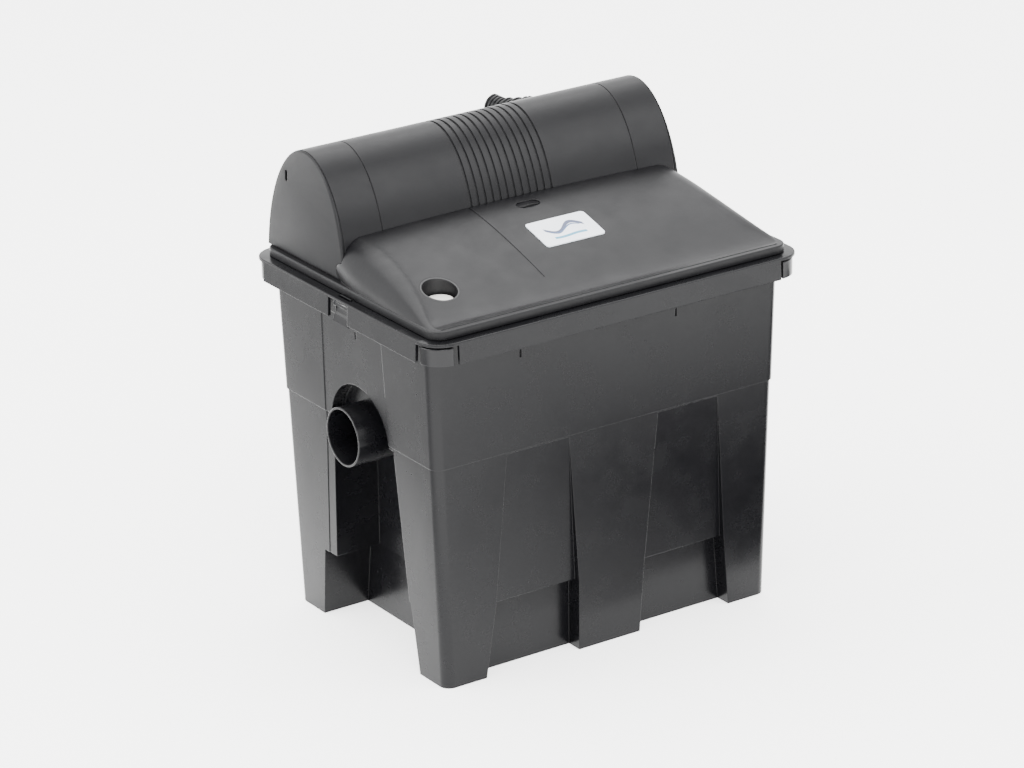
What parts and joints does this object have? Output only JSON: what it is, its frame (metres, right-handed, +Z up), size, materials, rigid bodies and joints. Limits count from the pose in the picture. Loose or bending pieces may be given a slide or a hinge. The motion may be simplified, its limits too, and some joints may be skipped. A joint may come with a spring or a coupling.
{
  "type": "box pond filter with UV clarifier",
  "caption": "Gravity-return box pond filter: drafted tub, domed lid with lamp hood, stepped hose inlet, pipe outlet, drain, latches, foams and UV lamp unit.",
  "frame": {"origin": "on the floor under the middle of the tub", "axes": "+X along the long front face away from the outlet, +Y towards the rear with the hose inlet, +Z up"},
  "size_m": [0.3664, 0.346, 0.41],
  "materials": {
    "housing_plastic": "satin moulded, anthracite",
    "cap_plastic": "polished, anthracite",
    "lid_plastic": "fine grained, anthracite",
    "pipe_plastic": "smooth, black",
    "seal_rubber": "matt",
    "label_film": "printed film, white",
    "float_plastic": "smooth, off-white",
    "quartz_glass": "clear",
    "lamp_glass": "frosted",
    "socket_ceramic": "ceramic white",
    "pin_steel": "drawn",
    "coarse_foam": "open-cell foam, blue",
    "fine_foam": "open-cell foam, red",
    "retainer_plastic": "satin moulded"
  },
  "bodies": {
    "tub": {"container": "housing_plastic", "outlet_lock_nut": "housing_plastic", "drain_socket": "housing_plastic", "base_grate": "housing_plastic", "outlet_baffle": "housing_plastic", "spray_tray": "housing_plastic", "corner_caps": "cap_plastic", "outlet_pipe": "pipe_plastic", "outlet_gasket": "seal_rubber", "drain_gasket": "seal_rubber", "latch_pin_left": "pin_steel", "latch_pin_right": "pin_steel", "coarse_foam_3": "coarse_foam", "coarse_foam_4": "coarse_foam", "fine_foam_1": "fine_foam", "fine_foam_2": "fine_foam", "foam_retainer_1": "retainer_plastic", "foam_retainer_2": "retainer_plastic", "foam_retainer_3": "retainer_plastic", "foam_retainer_4": "retainer_plastic"},
    "lid": {"lid": "lid_plastic", "lid_seal": "seal_rubber", "label_plate": "label_film", "indicator_well": "housing_plastic", "uvc_housing": "housing_plastic", "uvc_spout": "housing_plastic", "uvc_saddles": "housing_plastic", "quartz_sleeve": "quartz_glass", "uvc_lamp": "lamp_glass", "lamp_socket": "socket_ceramic", "sleeve_seal": "seal_rubber", "lamp_head": "housing_plastic", "cable_gland": "housing_plastic", "inlet_gasket": "seal_rubber"},
    "hood": {"lamp_hood": "lid_plastic"},
    "catch": {"hood_catch": "lid_plastic"},
    "latch_left": {"latch_left": "housing_plastic"},
    "latch_right": {"latch_right": "housing_plastic"},
    "drain_cap": {"drain_cap": "housing_plastic"},
    "union_nut": {"union_nut": "housing_plastic"},
    "hose_tail": {"hose_tail": "housing_plastic"},
    "indicator": {"indicator_float": "float_plastic"}
  },
  "joints": [
    {"name": "lid_lift", "type": "slide", "parent": "tub", "child": "lid", "axis": [0, 0, 1], "range_m": [0, 0.2]},
    {"name": "hood_lift", "type": "slide", "parent": "lid", "child": "hood", "axis": [0, 0.1961, 0.9806], "range_m": [0, 0.12]},
    {"name": "catch_press", "type": "slide", "parent": "lid", "child": "catch", "axis": [0, 0, 1], "range_m": [-0.002, 0], "stiffness_N_per_m": 300},
    {"name": "indicator_rise", "type": "slide", "parent": "lid", "child": "indicator", "axis": [0, 0, 1], "range_m": [0, 0.005]},
    {"name": "latch_left_swing", "type": "hinge", "parent": "tub", "child": "latch_left", "pos_m": [-0.1756, 0, 0.3026], "axis": [0, -1, 0], "range_deg": [0, 8], "stiffness_Nm_per_rad": 0.1},
    {"name": "latch_right_swing", "type": "hinge", "parent": "tub", "child": "latch_right", "pos_m": [0.1756, 0, 0.3026], "axis": [0, 1, 0], "range_deg": [0, 8], "stiffness_Nm_per_rad": 0.1},
    {"name": "drain_cap_turn", "type": "hinge", "parent": "tub", "child": "drain_cap", "pos_m": [0.15, 0, 0.032], "axis": [1, 0, 0], "continuous": true},
    {"name": "union_nut_turn", "type": "hinge", "parent": "lid", "child": "union_nut", "pos_m": [0.11393, 0.15941, 0.35685], "axis": [-0.2064, 0.9709, 0.1219], "continuous": true},
    {"name": "hose_tail_turn", "type": "hinge", "parent": "lid", "child": "hose_tail", "pos_m": [0.11166, 0.17009, 0.35819], "axis": [-0.2064, 0.9709, 0.1219], "continuous": true}
  ]
}
